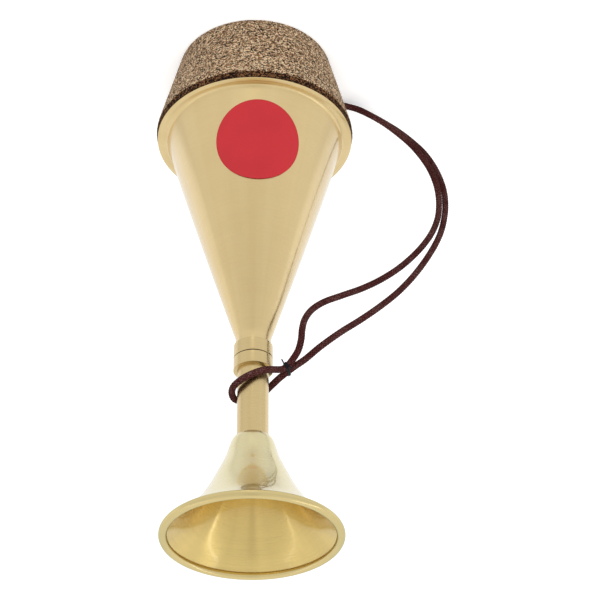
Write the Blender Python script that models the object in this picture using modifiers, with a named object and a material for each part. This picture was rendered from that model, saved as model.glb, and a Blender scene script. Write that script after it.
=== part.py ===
"""French horn stop mute, standing on its cork with the bell up.

A spun brass cone sits on a tapered cork ring. A short slide in its neck carries the stem
and the small flared bell, and a cord hangs in a loop round the stem. Units are metres, +Z up.
"""

import math

import bmesh
import bpy
from mathutils import Matrix, Vector

MM = 0.001

# Clearance between pieces that touch
GAP = 0.3 * MM

# Facets round the turned pieces
WIDE_STEPS = 80
MIDDLE_STEPS = 56
NARROW_STEPS = 36
ARC_STEPS = 3
ROLL_STEPS = 10
WIRE_SIDES = 6

# Cork ring
CORK_HEIGHT = 34.5 * MM
CORK_FOOT_RADIUS = 30.7 * MM
CORK_TOP_RADIUS = 39.0 * MM
CORK_FOOT_ROUNDING = 0.9 * MM
CORK_TOP_ROUNDING = 0.5 * MM

# Dark ring between the cork and the brass
BACKING_THICKNESS = 2.3 * MM
BACKING_INSET = 0.4 * MM

# Brass sleeve that carries the cork
CORK_WALL_AT_FOOT = 5.9 * MM
SLEEVE_WALL = 0.6 * MM
SLEEVE_RECESS = 1.2 * MM
SLEEVE_LIP = 1.5 * MM
SLEEVE_COLLAR = 4.0 * MM

# End plate and the tube that lets the sound in
END_PLATE_THICKNESS = 0.8 * MM
INLET_RADIUS = 4.0 * MM
INLET_WALL = 0.6 * MM
INLET_LENGTH = 22.0 * MM

# Spun cone with its flange and neck
BODY_WALL = 0.6 * MM
FLANGE_INSET = 0.5 * MM
FLANGE_WIDTH = 3.7 * MM
FLANGE_THICKNESS = 0.7 * MM
FLANGE_EDGE = 0.2 * MM
CONE_HEIGHT = 93.7 * MM
CONE_BELLY = 0.3 * MM
FOOT_FILLET = 1.8 * MM
NECK_RADIUS = 6.4 * MM
NECK_SHOWN = 3.0 * MM
THROAT_FILLET = 12.0 * MM

# Ferrules on both sides of the slide's parting line
FERRULE_WALL = 0.5 * MM
FERRULE_ROUNDING = 0.2 * MM
NECK_FERRULE_LENGTH = 5.4 * MM
SLIDE_FERRULE_LENGTH = 4.9 * MM

# Slide: receiver in the neck, inner tube and stem
TUBE_WALL = 0.45 * MM
RECEIVER_LENGTH = 30.0 * MM
SLIDE_IN_RECEIVER = 28.0 * MM
SLIDE_IN_STEM = 25.0 * MM
STEM_LENGTH = 35.5 * MM
STEM_IN_BELL = 2.4 * MM
STEM_WALL = 0.65 * MM

# Bell: its outline, outside, above the lower edge, and the shares of the flare's rise and spread
BELL_WALL = 0.5 * MM
BELL_HEIGHT = 38.35 * MM
BELL_RIM_RADIUS = 30.43 * MM
BELL_FLARE_ANGLE = 52.0
BEAD_RADIUS = 1.5 * MM
BEAD_SLIT = 30.0
SHOULDER_HEIGHT = 1.1 * MM
SHOULDER_SWELL = 0.9 * MM
THROAT_HEIGHT = 2.9 * MM
THROAT_SWELL = 1.6 * MM
BELL_FLARE_SHARES = ((0.157, 0.079), (0.335, 0.207), (0.544, 0.375), (0.753, 0.595), (0.886, 0.777))

# Label on the cone
LABEL_RADIUS = 16.2 * MM
LABEL_THICKNESS = 0.2 * MM
LABEL_HEIGHT = 22.3 * MM
LABEL_TURN = -92.5
LABEL_CELLS = 10

# Cord, its tie and its knot
CORD_RADIUS = 1.25 * MM
CORD_STEP = 5.3 * MM
LOOP_STEP = 2.6 * MM
CORD_LEAD = 1.0 * MM
TIE_RADIUS = 0.5 * MM
KNOT_RADIUS = 3.3 * MM
KNOT_CENTRE = (-33.3, 18.9, 3.7)

# Where the two cords pass through the tie, in millimetres, and which way they run there
TIE_FRONT = (-12.04, -1.64, 144.36)
TIE_BACK = (-12.56, 1.12, 144.64)
TIE_ALONG = (-0.822, -0.100, -0.561)

# Cord routes in millimetres, chosen by hand from the photograph
LOOP_ROUTE = (
    (-10.1, -2.5, 146.0), (-7.5, -4.9, 147.6), (-4.6, -6.7, 148.8), (-1.5, -7.4, 150.2),
    (2.0, -7.3, 151.9), (5.0, -5.8, 153.2), (7.0, -3.0, 153.8), (7.6, 0.6, 154.2),
    (6.6, 4.1, 154.6), (3.5, 6.9, 153.9), (-0.4, 7.7, 152.2), (-4.0, 6.7, 150.2),
    (-6.9, 4.7, 148.2), (-9.6, 2.6, 146.5),
)
INNER_ROUTE = (
    (-14.2, -2.2, 141.7), (-16.3, -3.4, 138.4), (-17.4, -4.0, 134.2),
    (-17.9, -3.4, 128.9), (-19.0, -1.6, 123.4), (-21.7, 1.0, 117.4), (-26.5, 4.2, 111.6),
    (-33.3, 7.6, 106.3), (-41.6, 11.2, 100.3), (-49.6, 14.6, 93.4), (-57.6, 17.6, 85.2),
    (-65.2, 20.0, 75.5), (-70.7, 21.8, 66.2), (-73.8, 23.0, 57.8), (-75.0, 23.8, 50.0),
    (-75.0, 24.2, 42.9), (-74.0, 24.2, 36.5), (-72.0, 24.0, 30.3), (-68.9, 23.6, 24.3),
    (-65.0, 22.8, 19.0), (-59.8, 21.8, 13.9), (-54.3, 20.6, 9.6), (-48.4, 19.0, 6.5),
    (-42.7, 17.2, 4.6), (-36.8, 15.9, 4.0),
)
OUTER_ROUTE = (
    (-15.4, 1.4, 142.0), (-19.3, 2.2, 138.3), (-24.9, 3.8, 131.8),
    (-32.5, 6.2, 123.9), (-40.4, 9.0, 116.3), (-48.5, 12.2, 107.7), (-56.3, 15.4, 98.3),
    (-63.7, 18.4, 87.3), (-70.4, 21.3, 74.9), (-74.8, 23.5, 64.2), (-77.2, 25.1, 54.1),
    (-78.0, 26.2, 45.8), (-77.6, 26.7, 38.7), (-76.1, 26.8, 32.1), (-73.7, 26.6, 26.0),
    (-70.3, 26.1, 20.3), (-65.4, 25.3, 15.0), (-59.9, 24.2, 10.5), (-54.1, 22.9, 7.0),
    (-48.4, 21.3, 4.4), (-42.8, 19.5, 2.7), (-37.2, 18.1, 1.9),
)

# Heights that follow from the sizes above
BACKING_Z = CORK_HEIGHT + GAP
BODY_Z = BACKING_Z + BACKING_THICKNESS + GAP
CONE_TOP = FLANGE_THICKNESS + CONE_HEIGHT
BODY_HEIGHT = CONE_TOP + NECK_SHOWN + NECK_FERRULE_LENGTH
NECK_FERRULE_Z = BODY_Z + CONE_TOP + NECK_SHOWN
NECK_END_Z = BODY_Z + BODY_HEIGHT
SLIDE_Z = NECK_END_Z + GAP
BELL_Z = SLIDE_Z + STEM_LENGTH - STEM_IN_BELL
END_PLATE_Z = SLEEVE_RECESS + SLEEVE_WALL + GAP

# Radii that follow from the sizes above
SLEEVE_RADIUS = CORK_FOOT_RADIUS - CORK_WALL_AT_FOOT - GAP
FLANGE_RADIUS = CORK_TOP_RADIUS - FLANGE_INSET
CONE_FOOT_RADIUS = FLANGE_RADIUS - FLANGE_WIDTH
RECEIVER_RADIUS = NECK_RADIUS - BODY_WALL - GAP
RECEIVER_BORE = RECEIVER_RADIUS - TUBE_WALL
SLIDE_RADIUS = RECEIVER_BORE - GAP
STEM_RADIUS = SLIDE_RADIUS + GAP + STEM_WALL
END_PLATE_RADIUS = SLEEVE_RADIUS - SLEEVE_WALL - GAP
COLLAR_SLOPE = (CONE_FOOT_RADIUS - NECK_RADIUS) / CONE_HEIGHT

BRASS = (0.66, 0.49, 0.22, 1.0)
CORK = (0.28, 0.19, 0.12, 1.0)
DARK_CORK = (0.06, 0.035, 0.02, 1.0)
RED = (0.6, 0.03, 0.04, 1.0)
CORD_BROWN = (0.07, 0.025, 0.022, 1.0)
BLACK = (0.012, 0.012, 0.013, 1.0)


def clear_scene():
    for old in list(bpy.data.objects):
        bpy.data.objects.remove(old)


def make_collection(name):
    collection = bpy.data.collections.new(name)
    bpy.context.scene.collection.children.link(collection)
    return collection


def make_material(name, colour, roughness, metallic=0.0):
    material = bpy.data.materials.new(name)
    material.use_nodes = True
    shader = material.node_tree.nodes["Principled BSDF"]
    shader.inputs["Base Color"].default_value = colour
    shader.inputs["Roughness"].default_value = roughness
    shader.inputs["Metallic"].default_value = metallic
    return material


def brass(name, roughness=0.25):
    return make_material(name, BRASS, roughness, metallic=1.0)


def place(piece, height, axis=None):
    """Puts a piece on the main axis, held by an empty where it moves."""
    piece.parent = axis
    piece.location.z = height - (axis.matrix_world.translation.z if axis else 0.0)


def make_axis(name, height, collection, parent=None):
    """An empty on the main axis, for the pieces that move together."""
    empty = bpy.data.objects.new(name, None)
    empty.empty_display_size = 20.0 * MM
    collection.objects.link(empty)
    place(empty, height, parent)
    bpy.context.view_layer.update()
    return empty


def arc(centre, radius, start, turn, steps):
    """Points of an arc in (radius, height), angles in degrees."""
    points = []
    for step in range(steps + 1):
        angle = math.radians(start + turn * step / steps)
        points.append((centre[0] + radius * math.cos(angle), centre[1] + radius * math.sin(angle)))
    return points


def rounded(corners):
    """Closed outline from corners of (radius, height, fillet), each fillet an arc."""
    points = []
    count = len(corners)
    for index, (across, up, fillet) in enumerate(corners):
        corner = Vector((across, up))
        if fillet == 0.0:
            points.append((across, up))
            continue
        before = Vector(corners[index - 1][:2]) - corner
        after = Vector(corners[(index + 1) % count][:2]) - corner
        half = before.angle(after) / 2.0
        reach = fillet / math.tan(half)
        start = corner + before.normalized() * reach
        end = corner + after.normalized() * reach
        middle = corner + (before.normalized() + after.normalized()).normalized() * (fillet / math.sin(half))
        sweep = (start - middle).angle_signed(end - middle)
        for step in range(ARC_STEPS + 1):
            spoke = start - middle
            spoke.rotate(Matrix.Rotation(-sweep * step / ARC_STEPS, 2))
            points.append(tuple(middle + spoke))
    return points


def smooth_curve(points, per_span):
    """Points read from a smooth curve that passes through the given points."""
    nodes = [Vector(point) for point in points]
    nodes = [2 * nodes[0] - nodes[1]] + nodes + [2 * nodes[-1] - nodes[-2]]
    curve = []
    for a, b, c, d in zip(nodes, nodes[1:], nodes[2:], nodes[3:]):
        for step in range(per_span):
            t = step / per_span
            curve.append(
                0.5 * (2 * b + (c - a) * t + (2 * a - 5 * b + 4 * c - d) * t ** 2
                       + (3 * b - a - 3 * c + d) * t ** 3)
            )
    curve.append(nodes[-2])
    return curve


def tie_ends(passing, side):
    """A cord's first two points beside the tie, so that it leaves square to it."""
    along = Vector(TIE_ALONG).normalized() * side
    end = Vector(passing) * MM + along * GAP / 2
    return [end, end + along * CORD_LEAD]


def even_points(route, spacing):
    """The route as points at an even spacing."""
    fine = smooth_curve(route, 12)
    lengths = [0.0]
    for a, b in zip(fine, fine[1:]):
        lengths.append(lengths[-1] + (b - a).length)
    count = max(2, round(lengths[-1] / spacing))
    points = []
    index = 0
    for number in range(count + 1):
        wanted = lengths[-1] * number / count
        while index < len(fine) - 2 and lengths[index + 1] < wanted:
            index += 1
        share = (wanted - lengths[index]) / (lengths[index + 1] - lengths[index])
        points.append(fine[index].lerp(fine[index + 1], share))
    return points


def turned(name, outline, steps, material, collection, height=0.0, axis=None):
    """A closed outline of (radius, height) points, turned round the main axis."""
    mesh = bpy.data.meshes.new(name)
    vertices = [(across, 0.0, up) for across, up in outline]
    edges = [(index, (index + 1) % len(outline)) for index in range(len(outline))]
    mesh.from_pydata(vertices, edges, [])
    mesh.materials.append(material)
    piece = bpy.data.objects.new(name, mesh)
    collection.objects.link(piece)
    screw = piece.modifiers.new("turn", "SCREW")
    screw.axis = "Z"
    screw.steps = steps
    screw.render_steps = steps
    screw.merge_threshold = 0.00001
    screw.use_smooth_shade = True
    place(piece, height, axis)
    return piece


def ring(outer, inner, length, rounding=0.0):
    """Outline of a plain ring or tube, its outer edges rounded."""
    return rounded([
        (outer, length, rounding),
        (outer, 0.0, rounding),
        (inner, 0.0, 0.0),
        (inner, length, 0.0),
    ])


def tube_along(name, points, radius, material, collection, axis, closed=False):
    """A round tube along world points, its origin on the axis that it moves on."""
    height = axis.matrix_world.translation.z
    curve = bpy.data.curves.new(name, "CURVE")
    curve.dimensions = "3D"
    curve.bevel_depth = radius
    curve.bevel_resolution = 2
    curve.use_fill_caps = not closed
    spline = curve.splines.new("POLY")
    spline.points.add(len(points) - 1)
    for target, point in zip(spline.points, points):
        target.co = (point.x, point.y, point.z - height, 1.0)
    spline.use_cyclic_u = closed
    curve.materials.append(material)
    piece = bpy.data.objects.new(name, curve)
    collection.objects.link(piece)
    place(piece, height, axis)
    return piece


def cone_radius(height):
    """Outer radius of the cone's wall, which swells a little between its ends."""
    share = (height - FLANGE_THICKNESS) / CONE_HEIGHT
    straight = CONE_FOOT_RADIUS + (NECK_RADIUS - CONE_FOOT_RADIUS) * share
    return straight + 4 * CONE_BELLY * share * (1 - share)


def make_cork_ring(collection):
    outline = rounded([
        (CORK_TOP_RADIUS, CORK_HEIGHT, CORK_TOP_ROUNDING),
        (CORK_FOOT_RADIUS, 0.0, CORK_FOOT_ROUNDING),
        (SLEEVE_RADIUS + GAP, 0.0, 0.0),
        (SLEEVE_RADIUS + GAP, CORK_HEIGHT, 0.0),
    ])
    material = make_material("cork", CORK, 0.9)
    turned("cork_ring", outline, WIDE_STEPS, material, collection)


def make_backing_ring(collection):
    outline = [
        (CORK_TOP_RADIUS - BACKING_INSET, BACKING_THICKNESS),
        (CORK_TOP_RADIUS, 0.0),
        (SLEEVE_RADIUS + GAP, 0.0),
        (SLEEVE_RADIUS + GAP, BACKING_THICKNESS),
    ]
    material = make_material("dark_cork", DARK_CORK, 0.9)
    turned("backing_ring", outline, WIDE_STEPS, material, collection, BACKING_Z)


def make_cork_sleeve(collection):
    """Sleeve through the cork, turned in at the foot and out under the cone."""
    shoulder = BODY_Z - SLEEVE_RECESS
    top = shoulder + SLEEVE_COLLAR
    collar = cone_radius(SLEEVE_COLLAR) - BODY_WALL - GAP
    collar_foot = collar + SLEEVE_COLLAR * COLLAR_SLOPE
    bore = SLEEVE_RADIUS - SLEEVE_WALL
    outline = [
        (collar, top),
        (collar_foot, shoulder),
        (SLEEVE_RADIUS, shoulder),
        (SLEEVE_RADIUS, 0.0),
        (bore - SLEEVE_LIP, 0.0),
        (bore - SLEEVE_LIP, SLEEVE_WALL),
        (bore, SLEEVE_WALL),
        (bore, shoulder + SLEEVE_WALL),
        (collar_foot - SLEEVE_WALL, shoulder + SLEEVE_WALL),
        (collar - SLEEVE_WALL, top),
    ]
    turned("cork_sleeve", outline, MIDDLE_STEPS, brass("sleeve_brass"), collection, SLEEVE_RECESS)


def make_end_plate(collection):
    outline = ring(END_PLATE_RADIUS, INLET_RADIUS + GAP, END_PLATE_THICKNESS)
    turned("end_plate", outline, MIDDLE_STEPS, brass("plate_brass"), collection, END_PLATE_Z)


def make_inlet_tube(collection):
    outline = ring(INLET_RADIUS, INLET_RADIUS - INLET_WALL, INLET_LENGTH)
    turned("inlet_tube", outline, NARROW_STEPS, brass("inlet_brass"), collection, END_PLATE_Z)


def make_body_cone(collection):
    """Cone, flange and neck, spun in one piece."""
    shares = (0.75, 0.5, 0.25)
    levels = [FLANGE_THICKNESS + CONE_HEIGHT * share for share in shares]
    outside = [(cone_radius(level), level, 0.0) for level in levels]
    inside = [(cone_radius(level) - BODY_WALL, level, 0.0) for level in reversed(levels)]
    corners = [
        (NECK_RADIUS, BODY_HEIGHT, 0.0),
        (NECK_RADIUS, CONE_TOP, THROAT_FILLET),
        *outside,
        (CONE_FOOT_RADIUS, FLANGE_THICKNESS, FOOT_FILLET),
        (FLANGE_RADIUS, FLANGE_THICKNESS, FLANGE_EDGE),
        (FLANGE_RADIUS, 0.0, FLANGE_EDGE),
        (CONE_FOOT_RADIUS - BODY_WALL, 0.0, FOOT_FILLET + FLANGE_THICKNESS),
        *inside,
        (NECK_RADIUS - BODY_WALL, CONE_TOP, THROAT_FILLET),
        (NECK_RADIUS - BODY_WALL, BODY_HEIGHT, 0.0),
    ]
    turned("body_cone", rounded(corners), WIDE_STEPS, brass("body_brass"), collection, BODY_Z)


def make_neck_ferrule(collection):
    bore = NECK_RADIUS + GAP
    outline = ring(bore + FERRULE_WALL, bore, NECK_FERRULE_LENGTH, FERRULE_ROUNDING)
    turned("neck_ferrule", outline, NARROW_STEPS, brass("neck_ferrule_brass"), collection, NECK_FERRULE_Z)


def make_receiver_tube(collection):
    outline = ring(RECEIVER_RADIUS, RECEIVER_BORE, RECEIVER_LENGTH)
    height = NECK_END_Z - RECEIVER_LENGTH
    turned("receiver_tube", outline, NARROW_STEPS, brass("receiver_brass"), collection, height)


def make_slide_ferrule(collection, axis):
    bore = STEM_RADIUS + GAP
    outer = NECK_RADIUS + GAP + FERRULE_WALL
    outline = ring(outer, bore, SLIDE_FERRULE_LENGTH, FERRULE_ROUNDING)
    turned("slide_ferrule", outline, NARROW_STEPS, brass("slide_ferrule_brass"), collection, SLIDE_Z, axis)


def make_slide_tube(collection, axis):
    outline = ring(SLIDE_RADIUS, SLIDE_RADIUS - TUBE_WALL, SLIDE_IN_RECEIVER + SLIDE_IN_STEM)
    height = SLIDE_Z - SLIDE_IN_RECEIVER
    turned("slide_tube", outline, NARROW_STEPS, brass("slide_brass"), collection, height, axis)


def make_stem_tube(collection, axis):
    outline = ring(STEM_RADIUS, STEM_RADIUS - STEM_WALL, STEM_LENGTH)
    turned("stem_tube", outline, NARROW_STEPS, brass("stem_brass"), collection, SLIDE_Z, axis)


def wall_entry(radius, side):
    """Angle at which a side of the bell's wall meets a circle round the middle of the rim."""
    return 270.0 - BELL_FLARE_ANGLE + side * math.degrees(math.asin(BELL_WALL / 2 / radius))


def bell_wall():
    """Outside of the bell's wall from its lower edge to its rolled rim."""
    throat = STEM_RADIUS + GAP + BELL_WALL
    entry = math.radians(wall_entry(BEAD_RADIUS, 1.0))
    last = (BELL_RIM_RADIUS + BEAD_RADIUS * math.cos(entry), BELL_HEIGHT + BEAD_RADIUS * math.sin(entry))
    first = (throat + THROAT_SWELL, THROAT_HEIGHT)
    points = [(throat, 0.0), (throat + SHOULDER_SWELL, SHOULDER_HEIGHT), first]
    for up, across in BELL_FLARE_SHARES:
        points.append((first[0] + across * (last[0] - first[0]), first[1] + up * (last[1] - first[1])))
    points.append(last)
    return points


def offset_inside(points, distance):
    """The same line moved towards the axis by a distance square to it."""
    moved = []
    for index, point in enumerate(points):
        before = Vector(points[max(index - 1, 0)])
        after = Vector(points[min(index + 1, len(points) - 1)])
        along = (after - before).normalized()
        moved.append((point[0] - along.y * distance, point[1] + along.x * distance))
    return moved


def make_bell(collection, axis):
    """Flared bell, its rim rolled all round a wire and back down to the inside of the wall."""
    outside = bell_wall()
    seat = STEM_RADIUS + GAP
    inside = [(seat, 0.0), (seat, STEM_IN_BELL)] + offset_inside(outside, BELL_WALL)[2:]
    centre = (BELL_RIM_RADIUS, BELL_HEIGHT)
    end = 630.0 - BELL_FLARE_ANGLE - BEAD_SLIT
    bore = BEAD_RADIUS - BELL_WALL
    bore_entry = wall_entry(bore, -1.0)
    roll_inside = arc(centre, bore, bore_entry, end - bore_entry, ROLL_STEPS - 2)
    roll_outside = arc(centre, BEAD_RADIUS, end, wall_entry(BEAD_RADIUS, 1.0) - end, ROLL_STEPS)
    outline = inside + roll_inside + roll_outside + outside[-2::-1]
    turned("bell_flare", outline, WIDE_STEPS, brass("bell_brass"), collection, BELL_Z, axis)


def make_rim_wire(collection, axis):
    """Wire inside the rolled rim of the bell."""
    wire = BEAD_RADIUS - BELL_WALL - GAP
    outline = arc((BELL_RIM_RADIUS, BELL_HEIGHT), wire, 0.0, -300.0, WIRE_SIDES - 1)
    turned("bell_rim_wire", outline, MIDDLE_STEPS, brass("wire_brass"), collection, BELL_Z, axis)


def make_label(collection):
    """Round label wrapped flat on the cone, made from a grid pushed into a disc."""
    mesh = bpy.data.meshes.new("label")
    grid = bmesh.new()
    bmesh.ops.create_grid(grid, x_segments=LABEL_CELLS, y_segments=LABEL_CELLS, size=1.0)
    slant = math.hypot(1.0, COLLAR_SLOPE)
    apex = cone_radius(LABEL_HEIGHT) * slant / COLLAR_SLOPE
    for vertex in grid.verts:
        x, y = vertex.co.x, vertex.co.y
        across = LABEL_RADIUS * x * math.sqrt(1 - y * y / 2)
        up = LABEL_RADIUS * y * math.sqrt(1 - x * x / 2)
        height = LABEL_HEIGHT + (apex - math.hypot(apex - up, across)) / slant
        radius = cone_radius(height) + GAP
        angle = math.radians(LABEL_TURN) + math.atan2(across, apex - up) * slant / COLLAR_SLOPE
        vertex.co = (radius * math.cos(angle), radius * math.sin(angle), height)
    grid.to_mesh(mesh)
    grid.free()
    mesh.shade_smooth()
    mesh.materials.append(make_material("label_red", RED, 0.5))
    piece = bpy.data.objects.new("label", mesh)
    collection.objects.link(piece)
    shell = piece.modifiers.new("thickness", "SOLIDIFY")
    shell.thickness = LABEL_THICKNESS
    shell.offset = 1.0
    place(piece, BODY_Z)


def make_cord_loop(collection, axis):
    """Loop round the stem, both of its ends in the tie."""
    front_end, front = tie_ends(TIE_FRONT, -1.0)
    back_end, back = tie_ends(TIE_BACK, -1.0)
    route = [Vector(point) * MM for point in LOOP_ROUTE]
    points = [front_end] + even_points([front] + route + [back], LOOP_STEP) + [back_end]
    material = make_material("cord_loop", CORD_BROWN, 0.6)
    tube_along("cord_neck_loop", points, CORD_RADIUS, material, collection, axis)


def make_cord_strand(name, passing, route, collection, axis):
    """Strand that hangs from the tie to the surface and lies there up to the knot."""
    end, start = tie_ends(passing, 1.0)
    points = [end] + even_points([start] + [Vector(point) * MM for point in route], CORD_STEP)
    material = make_material(name, CORD_BROWN, 0.6)
    tube_along(name, points, CORD_RADIUS, material, collection, axis)


def make_cord_tie(collection, axis):
    """Black ring that holds the two cords together beside the stem."""
    front = Vector(TIE_FRONT) * MM
    back = Vector(TIE_BACK) * MM
    along = Vector(TIE_ALONG).normalized()
    across = back - front
    across = (across - across.dot(along) * along).normalized()
    out = along.cross(across)
    reach = CORD_RADIUS + GAP + TIE_RADIUS
    points = []
    for centre, side in ((back, 1.0), (front, -1.0)):
        for step in range(9):
            angle = math.radians(-90.0 + 180.0 * step / 8)
            points.append(centre + side * reach * (math.cos(angle) * across + math.sin(angle) * out))
    material = make_material("tie_black", BLACK, 0.45)
    tube_along("cord_tie", points, TIE_RADIUS, material, collection, axis, closed=True)


def make_cord_knot(collection, axis):
    """Knot that joins the two strands, lying beside the cork."""
    mesh = bpy.data.meshes.new("cord_knot")
    ball = bmesh.new()
    bmesh.ops.create_uvsphere(ball, u_segments=14, v_segments=8, radius=KNOT_RADIUS)
    height = axis.matrix_world.translation.z
    bmesh.ops.translate(ball, verts=ball.verts, vec=Vector(KNOT_CENTRE) * MM - Vector((0.0, 0.0, height)))
    ball.to_mesh(mesh)
    ball.free()
    mesh.shade_smooth()
    mesh.materials.append(make_material("knot_cord", CORD_BROWN, 0.6))
    piece = bpy.data.objects.new("cord_knot", mesh)
    collection.objects.link(piece)
    place(piece, height, axis)


def main():
    clear_scene()
    collection = make_collection("horn_stop_mute")
    make_cork_ring(collection)
    make_backing_ring(collection)
    make_cork_sleeve(collection)
    make_end_plate(collection)
    make_inlet_tube(collection)
    make_body_cone(collection)
    make_neck_ferrule(collection)
    make_receiver_tube(collection)
    make_label(collection)
    slide = make_axis("tuning_slide_axis", SLIDE_Z, collection)
    make_slide_ferrule(collection, slide)
    make_slide_tube(collection, slide)
    make_stem_tube(collection, slide)
    make_bell(collection, slide)
    make_rim_wire(collection, slide)
    swivel = make_axis("cord_swivel_axis", SLIDE_Z + SLIDE_FERRULE_LENGTH, collection, slide)
    make_cord_loop(collection, swivel)
    make_cord_strand("cord_inner_strand", TIE_FRONT, INNER_ROUTE, collection, swivel)
    make_cord_strand("cord_outer_strand", TIE_BACK, OUTER_ROUTE, collection, swivel)
    make_cord_tie(collection, swivel)
    make_cord_knot(collection, swivel)


main()
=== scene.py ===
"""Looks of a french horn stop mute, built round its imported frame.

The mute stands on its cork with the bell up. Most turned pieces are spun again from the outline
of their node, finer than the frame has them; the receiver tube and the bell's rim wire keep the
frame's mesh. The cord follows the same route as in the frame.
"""

import math

import bmesh
import bpy
import numpy as np
from mathutils import Matrix, Vector


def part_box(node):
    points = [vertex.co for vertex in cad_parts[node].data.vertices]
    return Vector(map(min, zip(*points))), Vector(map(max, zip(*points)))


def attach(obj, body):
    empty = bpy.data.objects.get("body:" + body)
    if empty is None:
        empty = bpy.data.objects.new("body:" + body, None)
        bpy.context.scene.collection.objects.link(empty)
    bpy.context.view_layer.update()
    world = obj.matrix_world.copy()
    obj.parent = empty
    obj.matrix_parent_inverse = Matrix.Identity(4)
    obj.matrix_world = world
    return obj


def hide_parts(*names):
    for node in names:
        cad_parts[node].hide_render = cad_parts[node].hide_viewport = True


bl_info = {
    "name": "Horn Stop Mute",
    "version": (1, 0, 0),
    "blender": (4, 5, 0),
    "location": "View3D > Sidebar > Stop Mute",
    "description": "Dresses the frame of a brass stop mute for a horn",
    "category": "Object",
}

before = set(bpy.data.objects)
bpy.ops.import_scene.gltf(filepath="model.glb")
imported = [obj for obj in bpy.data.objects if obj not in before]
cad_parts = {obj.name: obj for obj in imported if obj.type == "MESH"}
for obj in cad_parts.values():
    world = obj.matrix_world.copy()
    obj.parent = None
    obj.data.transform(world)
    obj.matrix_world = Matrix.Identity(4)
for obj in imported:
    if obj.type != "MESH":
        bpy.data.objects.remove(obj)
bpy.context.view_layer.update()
BODY = "mute_body"
SLIDE = "bell_slide"
CORD = "cord_loop"

# Cord routes in metres, the same points as in the frame's source
TIE_FRONT = (-0.01204, -0.00164, 0.14436)
TIE_BACK = (-0.01256, 0.00112, 0.14464)
TIE_ALONG = (-0.822, -0.100, -0.561)
LOOP_ROUTE = (
    (-0.0101, -0.0025, 0.1460), (-0.0075, -0.0049, 0.1476), (-0.0046, -0.0067, 0.1488),
    (-0.0015, -0.0074, 0.1502), (0.0020, -0.0073, 0.1519), (0.0050, -0.0058, 0.1532),
    (0.0070, -0.0030, 0.1538), (0.0076, 0.0006, 0.1542), (0.0066, 0.0041, 0.1546),
    (0.0035, 0.0069, 0.1539), (-0.0004, 0.0077, 0.1522), (-0.0040, 0.0067, 0.1502),
    (-0.0069, 0.0047, 0.1482), (-0.0096, 0.0026, 0.1465),
)
INNER_ROUTE = (
    (-0.0142, -0.0022, 0.1417), (-0.0163, -0.0034, 0.1384), (-0.0174, -0.0040, 0.1342),
    (-0.0179, -0.0034, 0.1289), (-0.0190, -0.0016, 0.1234), (-0.0217, 0.0010, 0.1174),
    (-0.0265, 0.0042, 0.1116), (-0.0333, 0.0076, 0.1063), (-0.0416, 0.0112, 0.1003),
    (-0.0496, 0.0146, 0.0934), (-0.0576, 0.0176, 0.0852), (-0.0652, 0.0200, 0.0755),
    (-0.0707, 0.0218, 0.0662), (-0.0738, 0.0230, 0.0578), (-0.0750, 0.0238, 0.0500),
    (-0.0750, 0.0242, 0.0429), (-0.0740, 0.0242, 0.0365), (-0.0720, 0.0240, 0.0303),
    (-0.0689, 0.0236, 0.0243), (-0.0650, 0.0228, 0.0190), (-0.0598, 0.0218, 0.0139),
    (-0.0543, 0.0206, 0.0096), (-0.0484, 0.0190, 0.0065), (-0.0427, 0.0172, 0.0046),
    (-0.0368, 0.0159, 0.0040),
)
OUTER_ROUTE = (
    (-0.0154, 0.0014, 0.1420), (-0.0193, 0.0022, 0.1383), (-0.0249, 0.0038, 0.1318),
    (-0.0325, 0.0062, 0.1239), (-0.0404, 0.0090, 0.1163), (-0.0485, 0.0122, 0.1077),
    (-0.0563, 0.0154, 0.0983), (-0.0637, 0.0184, 0.0873), (-0.0704, 0.0213, 0.0749),
    (-0.0748, 0.0235, 0.0642), (-0.0772, 0.0251, 0.0541), (-0.0780, 0.0262, 0.0458),
    (-0.0776, 0.0267, 0.0387), (-0.0761, 0.0268, 0.0321), (-0.0737, 0.0266, 0.0260),
    (-0.0703, 0.0261, 0.0203), (-0.0654, 0.0253, 0.0150), (-0.0599, 0.0242, 0.0105),
    (-0.0541, 0.0229, 0.0070), (-0.0484, 0.0213, 0.0044), (-0.0428, 0.0195, 0.0027),
    (-0.0372, 0.0181, 0.0019),
)

# Spacing of the points along the cord and along the tie's thread
CORD_STEP = 0.00022
THREAD_STEP = 0.00025

# Degrees that an outline bends from one added point to the next, and the least bend that counts
BEND_STEP = 6.0
LEAST_BEND = 0.2

# Degrees between two faces from which the edge between them looks sharp
SHARP_TURNED = 30.0
SHARP_CORD = 60.0

# Slope of an eased edge as (distance in from the edge, drop), in shares of its fall
EASED_SLOPE = ((3.0, 0.0), (2.4, 0.12), (0.3, 0.85), (0.0, 1.0))

# Rings of the label's film, in shares of its radius, and points on each
LABEL_RINGS = (1.0, 0.985, 0.8, 0.6, 0.4, 0.2)
LABEL_SIDES = 96

# Radius of the circle that outlines are spun on
HUB_RADIUS = 0.001

# Middle level of the braid's cells, from 0 in a groove to 1 on a ridge
BRAID_LEVEL = 0.65

# How far the bore of a soldered piece is drawn in, and the tie's distance from the cord
SOLDER_GAP = 0.00025
TIE_GAP = 0.00008

# Height of the bell's foot that takes the stem's duller coat and its colour darkened as painted shade
DULL_SHADED_FOOT = 0.0012

# Lamp, and the point that it shines at
LAMP_PLACE = (-0.05, -0.75, 1.05)
LAMP_AIM = (0.0, 0.0, 0.1)
LAMP_SIZE = 0.9
LAMP_ENERGY = 7.0

# Floor: half of its width, and the light it adds towards the camera to look white
FLOOR_REACH = 6.0
FLOOR_LIFT = 0.36

# What the brass mirrors: a darker line and a bright pool on the floor, and upright strips beside
LINE_Y = 0.02
POOL_PLACE = (0.012, -0.17)
STRIP_Y = -0.04
RIGHT_STRIP_SHARE = 0.62


def length_setting(name, default):
    return bpy.props.FloatProperty(name=name, default=default, precision=5, subtype="DISTANCE")


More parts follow.
